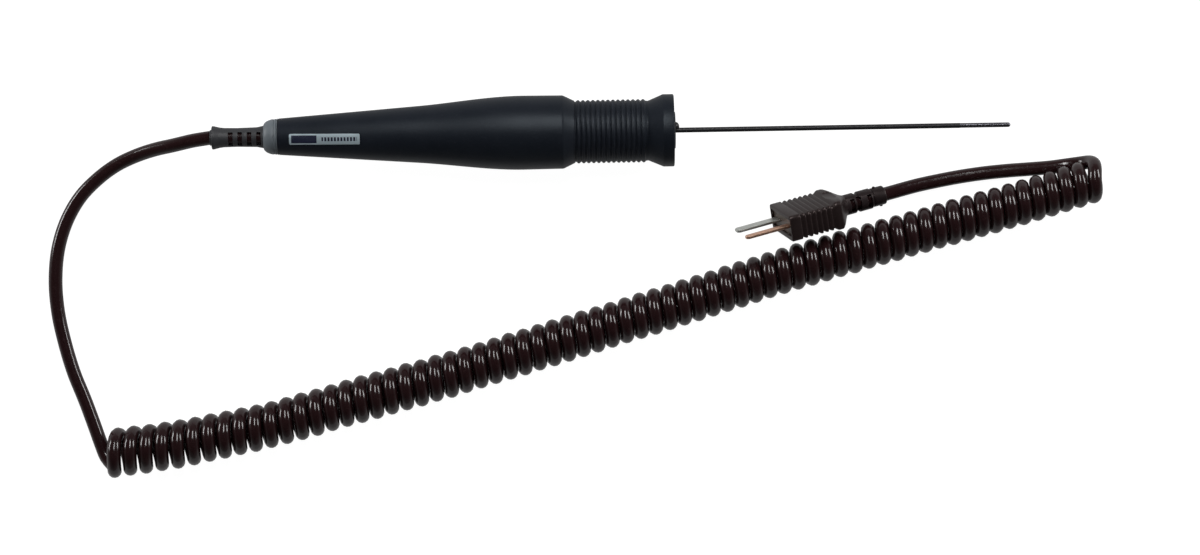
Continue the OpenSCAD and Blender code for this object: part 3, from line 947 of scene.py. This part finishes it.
@dataclass
class Cord:
    """The free cord: a lead, a long curly coil and a tail that ends in the plug."""

    diameter: float = 4.2
    turns: float = 67.5
    per_turn: int = 20
    sides: int = 14
    step: float = 1.7
    start_d: float = 15.0
    middle_d: float = 14.0
    end_d: float = 13.4
    shrink_points: int = 3
    first_sample: int = 3
    closing: float = 0.05
    lift: float = 1.6
    lift_from: float = 0.92
    wander: float = 0.12
    seed: int = 7

    LEAD = ((-118.95, 0, 11), (-124, -0.7, 10.5), (-130, -1.9, 8.9), (-136, -3, 6.6), (-142, -4.7, 4.3),
            (-148, -7.3, 2.8), (-154, -11.5, 2.2), (-159, -16.5, 2.1), (-163, -23, 2.1), (-165.8, -31, 2.1),
            (-167, -41, 2.1), (-166.4, -51, 2.1), (-164.6, -60, 2.1), (-161.9, -69.5, 2.1),
            (-158.8, -77.5, 2.1), (-155.8, -86, 2.1), (-154.1, -91, 2.1), (-152.6, -94.8, 2.3))
    COIL = ((-151.2, -93.5), (-133, -91.4), (-119, -88.9), (-101, -85.3), (-78, -79.2), (-52, -72.4),
            (-26, -65), (0, -57.4), (26, -49.8), (51, -42.3), (77, -35.2), (103, -28.3), (123, -23),
            (143.5, -17))
    TAIL = ((143.7, -13.8, 11.8), (143.8, -12, 9), (142.9, -11.4, 5.8), (140.4, -11.6, 3.4), (137, -12, 2.3),
            (132, -12.6, 2.1), (126, -13, 2.1), (119, -13.4, 2.1), (112, -14, 2.1), (105, -14.9, 2.1),
            (98, -16.1, 2.3), (92, -17.3, 2.7))

    def coil_radius(self, along: float) -> float:
        """Outer radius of the coil.

        Args:
            along: Place on the coil's axis, counted in its route's points.

        Returns:
            The radius in millimetres.
        """
        last = len(self.COIL) - 1
        if along < self.shrink_points:
            return (self.start_d + (self.middle_d - self.start_d) * along / self.shrink_points) / 2
        share = (along - self.shrink_points) / (last - self.shrink_points)
        return (self.middle_d + (self.end_d - self.middle_d) * share) / 2

    def helix(self) -> list[Vector]:
        """Works out the coil's turns around its axis.

        Returns:
            Points along the helix, in millimetres.
        """
        route = [Vector((x, y, 0)) for x, y in self.COIL]
        per_gap = 40
        fine: list[Vector] = [route[0]]
        places: list[float] = [0.0]
        for i in range(len(route) - 1):
            before, after = route[max(i - 1, 0)], route[min(i + 2, len(route) - 1)]
            for k in range(1, per_gap + 1):
                t = k / per_gap
                fine.append(0.5 * (2 * route[i] + (route[i + 1] - before) * t
                                   + (2 * before - 5 * route[i] + 4 * route[i + 1] - after) * t**2
                                   + (3 * route[i] - 3 * route[i + 1] + after - before) * t**3))
                places.append(i + t)
        travelled = [0.0]
        for i in range(1, len(fine)):
            travelled.append(travelled[-1] + (fine[i] - fine[i - 1]).length)
        chance = random.Random(self.seed)
        jitter = [chance.uniform(-self.wander, self.wander) for _ in range(int(self.turns) + 3)]
        count = round(self.turns * self.per_turn)
        points, at = [], 0
        for n in range(count + 1):
            f = n / count
            goal = travelled[-1] * (f * (1 + self.closing) - self.closing * f * f)
            while at < len(travelled) - 2 and travelled[at + 1] < goal:
                at += 1
            t = (goal - travelled[at]) / (travelled[at + 1] - travelled[at])
            centre = fine[at].lerp(fine[at + 1], t)
            outer = self.coil_radius(places[at] + (places[at + 1] - places[at]) * t)
            forward = (fine[at + 1] - fine[at]).normalized()
            left = Vector((-forward.y, forward.x, 0))
            turn = f * self.turns
            whole = int(turn)
            loose = jitter[whole] + (jitter[whole + 1] - jitter[whole]) * ease(turn - whole)
            radius = outer - self.diameter / 2 + loose * ease(min(f, 1 - f) * 30)
            height = outer + self.lift * ease((f - self.lift_from) / (1 - self.lift_from))
            angle = TAU * turn
            points.append(centre - left * radius * math.sin(angle)
                          + Vector((0, 0, height - radius * math.cos(angle))))
        return points[self.first_sample:]

    def path(self, plug_rear: Vector, plug_axis: Vector) -> list[Vector]:
        """Joins the lead, the coil and the tail.

        Args:
            plug_rear: Point in millimetres where the cord enters the plug.
            plug_axis: Direction from the plug back along its cord.

        Returns:
            The whole route in metres.
        """
        ends = [plug_rear + plug_axis * 2.5, plug_rear]
        points = [Vector(p) for p in self.LEAD] + self.helix() + [Vector(p) for p in self.TAIL] + ends
        return [p * MM for p in smooth_path(points, self.step)]

    def build(self, palette: Palette, plug_rear: Vector, plug_axis: Vector,
              carried: Sequence[object]) -> bpy.types.Object:
        """Args:
            palette: The finishes.
            plug_rear: Point in millimetres where the cord enters the plug.
            plug_axis: Direction from the plug back along its cord.
            carried: The pieces and CAD nodes that are on the cord; not used.

        Returns:
            The cord's piece.
        """
        path = self.path(plug_rear, plug_axis)
        radius = self.diameter / 2 * MM
        rings, side = [], Vector((0, 1, 0))
        for i, point in enumerate(path):
            along = (path[min(i + 1, len(path) - 1)] - path[max(i - 1, 0)]).normalized()
            side = (side - along * side.dot(along)).normalized()
            other = along.cross(side)
            rings.append([point + (side * math.cos(TAU * k / self.sides)
                                   + other * math.sin(TAU * k / self.sides)) * radius
                          for k in range(self.sides)])
        cord = loft("cord", rings, Matrix.Identity(4))
        palette.dress(cord, "cord_jacket", ["lead_cord", "curly_cord", "tail_cord"])
        return cord


# ------------------------------------------------------------------ handle


@dataclass
class Handle:
    """Tapered body, ribbed nose, rear cap, cable boot and label, all on one axis."""

    cone_l: float = 41.7
    rear_d: float = 10.8
    cone_d: float = 16.9
    full_d: float = 22.0
    crown_flat: float = 12.0
    chamfer_l: float = 3.5
    chamfer_d: float = 18.4
    rear_bore_d: float = 7.2
    rear_bore_l: float = 29.0
    cavity_d: float = 10.4
    socket_d: float = 14.4
    socket_l: float = 16.0
    grip_l: float = 21.7
    grip_d: float = 18.8
    grip_rings: int = 14
    grip_groove: float = 0.9
    nose_bore_r: float = 5.0
    bush_shoulder: float = 19.0
    play: float = 0.05
    rim_d: float = 21.5
    flare_l: float = 4.5
    bush_disc_d: float = 11.0
    bush_seat: float = 0.8
    bush_d: float = 5.2
    cap_rim_d: float = 6.8
    cap_plug_l: float = 7.5
    cap_ring_depth: float = 0.34
    sleeve_l: float = 0.6
    sleeve_d: float = 4.7
    lip_d: float = 7.07
    boot_d: float = 5.9
    boot_waist_d: float = 5.6
    boot_flare_l: float = 2.1
    last_window: float = 0.7
    window_w: float = 4.25
    window_l: float = 1.4
    window_pitch: float = 2.8
    window_turn: float = 18.0
    windows: int = 4
    cord_bore_d: float = 4.3
    label_start: float = 3.7
    label_l: float = 21.0
    label_w: float = 3.2
    label_lean: float = 11.0
    label_t: float = 0.12

    def __post_init__(self) -> None:
        """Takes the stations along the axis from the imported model."""
        body_low, body_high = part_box("handle_body")
        self.x_body = body_low.x / MM
        self.body_l = (body_high.x - body_low.x) / MM
        self.x_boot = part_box("cable_boot")[0].x / MM
        self.x_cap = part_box("rear_cap")[0].x / MM
        self.x_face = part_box("grip_nose")[1].x / MM
        self.axis_z = (body_low.z + body_high.z) / 2 / MM

    def at(self, x: float) -> Matrix:
        """Frame on the axis at a station, from millimetres to metres."""
        return Matrix.Scale(MM, 4) @ Matrix.Translation((x, 0, self.axis_z))

    def slope(self) -> float:
        """Rise of the cone's radius along its length."""
        return (self.cone_d - self.rear_d) / 2 / self.cone_l

    def crown(self, t: float) -> float:
        """Radius of the swelling between the cone and the crown.

        Args:
            t: 0 at the cone's end, 1 where the crown is full.

        Returns:
            The radius in millimetres.
        """
        length = self.body_l - self.cone_l - self.crown_flat - self.chamfer_l
        return ((1 - 3 * t**2 + 2 * t**3) * self.cone_d / 2 + (3 * t**2 - 2 * t**3) * self.full_d / 2
                + (t - 2 * t**2 + t**3) * self.slope() * length)

    def body(self) -> bpy.types.Object:
        """Makes the hollow body, with rounded rear and front edges.

        Returns:
            The body's piece.
        """
        length = self.body_l - self.cone_l - self.crown_flat - self.chamfer_l
        steps = 26
        corners = [Corner(0, self.rear_bore_d / 2), Corner(0, self.rear_d / 2, 0.5)]
        corners += [Corner(self.cone_l + length * i / steps, self.crown(i / steps)) for i in range(steps + 1)]
        corners += [Corner(self.body_l - self.chamfer_l, self.full_d / 2 - 0.1, 1.6),
                    Corner(self.body_l, self.chamfer_d / 2, 0.35),
                    Corner(self.body_l, self.socket_d / 2, 0.2),
                    Corner(self.body_l - self.socket_l, self.socket_d / 2),
                    Corner(self.body_l - self.socket_l, self.cavity_d / 2),
                    Corner(self.rear_bore_l, self.cavity_d / 2),
                    Corner(self.rear_bore_l, self.rear_bore_d / 2)]
        return lathe("handle_shell", rounded(corners, 6), self.at(self.x_body), 128)

    def nose(self) -> bpy.types.Object:
        """Makes the nose with its row of rounded grip rings and its flared rim.

        Returns:
            The nose's piece.
        """
        length = self.x_face - self.x_body - self.body_l
        root, crest = (self.grip_d - self.grip_groove) / 2, self.grip_d / 2
        pitch = self.grip_l / (self.grip_rings + 0.6)
        bore, seat = self.nose_bore_r, length - self.bush_seat
        back, spigot = -self.socket_l + self.play, self.socket_d / 2 - self.play
        corners = [Corner(back, bore), Corner(back, spigot, 0.3), Corner(0, spigot), Corner(0, root, 0.1)]
        for i in range(self.grip_rings):
            for place, high in ((0.22, 0), (0.54, 1), (0.84, 1), (1.14, 0)):
                corners.append(Corner((i + place) * pitch, crest if high else root, 0.18 if high else 0.12))
        rim_x = self.grip_l + self.flare_l
        corners += [Corner(self.grip_l, root - 0.1, 0.8), Corner(rim_x, self.rim_d / 2, 0.5),
                    Corner(length, self.rim_d / 2, 0.4), Corner(length, self.bush_disc_d / 2 + 0.02, 0.05),
                    Corner(seat, self.bush_disc_d / 2 + 0.02), Corner(seat, self.bush_d / 2),
                    Corner(self.bush_shoulder, self.bush_d / 2), Corner(self.bush_shoulder, bore)]
        return lathe("ribbed_nose", rounded(corners, 4), self.at(self.x_body + self.body_l), 128)

    def cap(self) -> bpy.types.Object:
        """Makes the domed rear cap with two shallow ridged rings beside the body.

        Returns:
            The cap's piece.
        """
        length = self.x_body - self.x_cap
        rim, full, steps = self.cap_rim_d, self.rear_d / 2, 8
        bore, spigot = self.cord_bore_d / 2, self.rear_bore_d / 2 - self.play
        widest, narrowest = math.radians(78), math.radians(22)
        corners = [Corner(0, bore)]
        for i in range(steps + 1):
            a = widest + (narrowest - widest) * i / steps
            corners.append(Corner(length * (1 - math.sin(a) / math.sin(widest)),
                                  rim / 2 + (full - rim / 2) * math.cos(a)))
        groove, fillet = full - self.cap_ring_depth, 0.05
        for back in (0.95, 0.3):
            x = length - back
            corners += [Corner(x - 0.16, full - 0.1 - 0.1 * back, fillet), Corner(x - 0.1, groove, fillet),
                        Corner(x + 0.02, groove, fillet), Corner(x + 0.1, full - 0.08 * back, fillet)]
        front = length + self.cap_plug_l
        corners += [Corner(length, full), Corner(length, spigot), Corner(front, spigot, 0.3),
                    Corner(front, bore)]
        return lathe("cap", rounded(corners), self.at(self.x_cap), 96)

    def boot(self) -> bpy.types.Object:
        """Makes the cable boot, ribbed by the windows that pass through it.

        Returns:
            The boot's piece.
        """
        length = self.x_cap - self.x_boot
        bore, sleeve = self.cord_bore_d / 2, self.sleeve_d / 2
        corners = [Corner(0, bore, 0.1), Corner(0, sleeve, 0.1), Corner(self.sleeve_l, sleeve, 0.05),
                   Corner(self.sleeve_l, self.lip_d / 2, 0.22), Corner(1.4, 3.42, 0.8),
                   Corner(2.8, 3.05, 1.2), Corner(4.2, 2.88), Corner(8, self.boot_waist_d / 2, 6),
                   Corner(length - self.boot_flare_l, self.boot_d / 2, 2),
                   Corner(length, self.cap_rim_d / 2, 0.1), Corner(length, bore)]
        boot = lathe("boot", rounded(corners), self.at(self.x_boot), 96)
        turned = self.at(self.x_boot) @ Matrix.Rotation(math.radians(self.window_turn), 4, "X")
        front = length - self.last_window - self.window_l / 2
        cutters = [window(f"slot_{i}", front - i * self.window_pitch, self.window_l, self.window_w,
                          self.full_d, Axis.UPWARDS, turned) for i in range(self.windows)]
        combine(boot, cutters, Solid.CUT)
        soften_edges(boot, 0.16, 3)
        return boot

    def label(self) -> bpy.types.Object:
        """Makes the thin label on the cone, the same width all along.

        Returns:
            The label's piece.
        """
        columns, rows, corner = 80, 12, 0.25
        middle = math.radians(-self.label_lean)
        verts, uvs = [], []
        for lift in (0.015, self.label_t):
            for i in range(columns + 1):
                u = i / columns
                along = self.label_l * u
                radius = self.rear_d / 2 + (self.label_start + along) * self.slope()
                edge = min(along, self.label_l - along)
                inset = corner - math.sqrt(max(corner**2 - max(corner - edge, 0.0)**2, 0.0))
                reach = (self.label_w / 2 - inset) / radius
                for j in range(rows + 1):
                    v = j / rows
                    a = middle + reach * (2 * v - 1)
                    r = radius + lift
                    verts.append(self.at(self.x_body) @ Vector((self.label_start + along, r * math.sin(a),
                                                                r * math.cos(a))))
                    uvs.append((u, 0.5 + (v - 0.5) * (1 - 2 * inset / self.label_w)))
        stride, layer = rows + 1, (columns + 1) * (rows + 1)
        faces = [tuple(base + i * stride + j + step for step in (0, 1, stride + 1, stride))
                 for base in (0, layer) for i in range(columns) for j in range(rows)]
        border = ([i * stride for i in range(columns + 1)]
                  + [columns * stride + j for j in range(1, rows + 1)]
                  + [i * stride + rows for i in range(columns - 1, -1, -1)] + list(range(rows - 1, 0, -1)))
        faces += [(a, b, b + layer, a + layer) for a, b in zip(border, border[1:] + border[:1])]
        label = new_piece("label", verts, faces)
        table = label.data.uv_layers.new(name="print")
        for loop in label.data.loops:
            table.data[loop.index].uv = uvs[loop.vertex_index]
        return label

    def build(self, palette: Palette) -> None:
        """Makes and dresses every piece of the handle.

        Args:
            palette: The finishes.
        """
        palette.dress(self.body(), "handle_polymer", ["handle_body"])
        palette.dress(self.nose(), "handle_polymer", ["grip_nose"])
        palette.dress(self.cap(), "cap_polymer", ["rear_cap"])
        palette.dress(self.boot(), "boot_rubber", ["cable_boot"])
        palette.dress(self.label(), "label_foil", ["identification_label"])


# ------------------------------------------------------------------ plug


@dataclass
class Plug:
    """Miniature two-blade plug: ribbed block, windowed neck and two unequal blades."""

    roll: float = 110.0
    width: float = 16.3
    thick: float = 8.0
    block_l: float = 16.5
    band_l: float = 3.3
    rib_pitch: float = 1.68
    ribs: int = 6
    rib_h: float = 0.5
    hump: float = 8.9
    shoulder_l: float = 4.1
    neck_l: float = 12.8
    neck_d: float = 6.2
    carrier_w: float = 14.6
    carrier_t: float = 5.0
    pocket_l: float = 7.2
    spacing: float = 7.92
    blade_l: float = 13.0
    blade_root: float = 8.0
    blade_t: float = 0.8
    copper_w: float = 2.4
    constantan_w: float = 3.2
    cord_bore_d: float = 4.3
    groove_d: float = 5.2
    window_l: float = 1.4
    window_w: float = 4.25
    dish_l: float = 3.9
    dish_w: float = 7.9
    dish_depth: float = 0.36

    # One rib: share of the pitch, and the fall below the crest as a share of the rib's height
    RIB = ((0.08, 1.0), (0.16, 1.15), (0.3, 0.85), (0.55, 0.3), (0.75, 0.03), (0.85, 0.0), (0.95, 0.06))

    def __post_init__(self) -> None:
        """Takes the plug's place and axis from its mount in the record."""
        mount = next(m for m in frame["record"]["mounts"] if m["name"] == "plug_blades")
        self.origin = Vector(mount["pos_m"]) / MM
        self.back = -Vector(mount["axis"]).normalized()
        tilt = math.asin(-self.back.z)
        heading = math.atan2(self.back.y, self.back.x)
        turn = (Matrix.Rotation(heading, 4, "Z") @ Matrix.Rotation(tilt, 4, "Y")
                @ Matrix.Rotation(math.radians(self.roll), 4, "X"))
        self.place = Matrix.Scale(MM, 4) @ Matrix.Translation(self.origin) @ turn

    def rear(self) -> Vector:
        """Point in millimetres where the cord enters the neck."""
        return self.origin + self.back * (self.block_l + self.shoulder_l + self.neck_l)

    def block(self) -> bpy.types.Object:
        """Makes the ribbed block with its pocket and the plain oval dish on its hump.

        Returns:
            The block's piece.
        """
        half_w, half_t, half_hump = self.width / 2, self.thick / 2, self.hump / 2
        rings = [rounded_rectangle(self.pocket_l, self.carrier_w / 2 + 0.05, self.carrier_t / 2 + 0.05, 0.5),
                 rounded_rectangle(0.15, self.carrier_w / 2 + 0.05, self.carrier_t / 2 + 0.05, 0.5),
                 rounded_rectangle(0.0, self.carrier_w / 2 + 0.2, self.carrier_t / 2 + 0.2, 0.6),
                 rounded_rectangle(0.0, half_w - 0.3, half_t - 0.3, 0.8),
                 rounded_rectangle(0.1, half_w - 0.1, half_t - 0.1, 0.9),
                 rounded_rectangle(0.35, half_w, half_t, 1.0),
                 rounded_rectangle(self.band_l, half_w, half_t, 1.0)]
        for i in range(self.ribs):
            for share, fall in self.RIB:
                rings.append(rounded_rectangle(self.band_l + (i + share) * self.rib_pitch,
                                               half_w - 0.6 * self.rib_h * fall,
                                               half_t - self.rib_h * fall, 1.0))
        start = self.band_l + (self.ribs + 0.06) * self.rib_pitch
        steps = 8
        for i in range(steps + 1):
            t = i / steps
            x, climb = start + (self.block_l - start) * t, half_hump - half_t + self.rib_h
            rings.append(rounded_rectangle(x, half_w - 0.3 * (1 - ease(2 * t)),
                                           half_t - self.rib_h + climb * ease(1.6 * t), 1.0 + 0.3 * t))
        for i in range(1, steps + 1):
            t = i / steps
            rings.append(rounded_rectangle(self.block_l + self.shoulder_l * t,
                                           half_w + (self.neck_d / 2 - half_w) * (0.65 * t + 0.35 * ease(t)),
                                           half_hump + (self.neck_d / 2 - half_hump) * ease(t),
                                           1.3 + (self.neck_d / 2 - 1.3) * ease(t)))
        body = loft("plug_block", rings, self.place)
        combine(body, [self._dish(side) for side in (-1, 1)], Solid.CUT)
        soften_edges(body, 0.06)
        return body

    def _dish(self, side: int) -> bpy.types.Object:
        """Cutter for the shallow oval dish on a broad face of the hump.

        Args:
            side: 1 for the upper face, -1 for the lower one.

        Returns:
            The cutter.
        """
        rings, steps, sides = [], 5, 40
        for i in range(steps + 1):
            share = 0.84 + 0.16 * i / steps
            z = side * (self.hump / 2 - self.dish_depth + 0.6 * (i / steps) ** 2)
            rings.append([Vector((self.block_l - 0.3 + self.dish_l / 2 * share * math.cos(TAU * k / sides),
                                  self.dish_w / 2 * share * math.sin(TAU * k / sides), z))
                          for k in range(sides)])
        return loft(f"dish_{side}", rings, self.place)

    def neck(self) -> bpy.types.Object:
        """Makes the collared neck with its windows and two small nubs.

        Returns:
            The neck's piece.
        """
        bore, groove, full = self.cord_bore_d / 2, self.groove_d / 2, self.neck_d / 2
        start = self.block_l + self.shoulder_l
        corners = [Corner(0, bore), Corner(0, full), Corner(3.1, full, 0.25), Corner(3.1, groove, 0.1),
                   Corner(4.3, groove, 0.1), Corner(4.3, full, 0.25), Corner(8.4, full, 0.25),
                   Corner(8.4, groove, 0.1), Corner(9.0, groove, 0.1), Corner(9.0, 2.85, 0.2),
                   Corner(self.neck_l, 2.85, 0.35), Corner(self.neck_l, bore, 0.1)]
        frame_at = self.place @ Matrix.Translation((start, 0, 0))
        neck = lathe("plug_relief", rounded(corners), frame_at, 72)
        cutters = [window(f"slot_{place}", place + self.window_l / 2, self.window_l, self.window_w,
                          self.neck_d, Axis.SIDEWAYS, frame_at) for place in (1.1, 3.2, 6.6)]
        combine(neck, cutters, Solid.CUT)
        nubs = []
        for place, side in ((9.9, -1), (11.6, 1)):
            rings = [[Vector((place + r * math.cos(TAU * k / 20), r * math.sin(TAU * k / 20), side * z))
                      for k in range(20)] for z, r in ((2.5, 0.45), (3.15, 0.45), (3.27, 0.36), (3.3, 0.2))]
            nubs.append(loft(f"nub_{side}", rings, frame_at))
        combine(neck, nubs, Solid.JOIN)
        soften_edges(neck, 0.07)
        return neck

    def blade(self, name: str, side: int, width: float) -> bpy.types.Object:
        """Makes a flat blade with a chamfered, rounded tip.

        Args:
            name: The blade's name.
            side: 1 for the copper blade's side, -1 for the other.
            width: The blade's width.

        Returns:
            The blade's piece.
        """
        half, chamfer, middle = width / 2, 0.7, side * self.spacing / 2
        tip = -self.blade_l
        outline = [(tip, -half + chamfer), (tip + chamfer, -half), (self.blade_root, -half),
                   (self.blade_root, half), (tip + chamfer, half), (tip, half - chamfer)]
        rings = [[Vector((x, middle + y, z)) for x, y in outline]
                 for z in (-self.blade_t / 2, self.blade_t / 2)]
        made = loft(name, rings, self.place)
        soften_edges(made, 0.14, 3)
        return made

    def build(self, palette: Palette) -> list[object]:
        """Makes and dresses every piece of the plug.

        Args:
            palette: The finishes.

        Returns:
            The pieces and kept CAD nodes that are on the cord.
        """
        block_piece, neck_piece = self.block(), self.neck()
        copper = self.blade("blade_copper", 1, self.copper_w)
        constantan = self.blade("blade_constantan", -1, self.constantan_w)
        palette.dress(block_piece, "plug_polymer", ["plug_body"])
        palette.dress(neck_piece, "neck_polymer", ["plug_neck"])
        palette.dress(copper, "copper", ["plug_blade_copper"])
        palette.dress(constantan, "constantan", ["plug_blade_constantan"])
        return [block_piece, neck_piece, copper, constantan, "plug_carrier", "plug_blade_pins",
                "plug_copper_wire", "plug_constantan_wire", "plug_wire_crimps", "tail_jacket_end"]


# ------------------------------------------------------------------ parts kept from the model


class KeptParts:
    """Pieces whose modelled shape is already right, so only their finish changes."""

    def build(self, palette: Palette) -> None:
        """Dresses every node that nothing stands for.

        Args:
            palette: The finishes.
        """
        replaced = {"handle_body", "grip_nose", "rear_cap", "cable_boot", "identification_label", "lead_cord",
                    "curly_cord", "tail_cord", "plug_body", "plug_neck", "plug_blade_copper",
                    "plug_blade_constantan"}
        slots = {part["node"]: part["material_slot"] for part in frame["record"]["subparts"]}
        for node in sorted(set(frame["nodes"]) - replaced):
            palette.dress_node(node, slots[node])


def main() -> None:
    """Builds the studio, the cord and every piece."""
    logging.basicConfig(level=logging.INFO, format="%(name)s: %(message)s")
    Studio().build()
    palette = Palette(Effects())
    plug = Plug()
    carried = plug.build(palette)
    Cord().build(palette, plug.rear(), plug.back, carried)
    Handle().build(palette)
    KeptParts().build(palette)


if __name__ == "__main__":
    main()
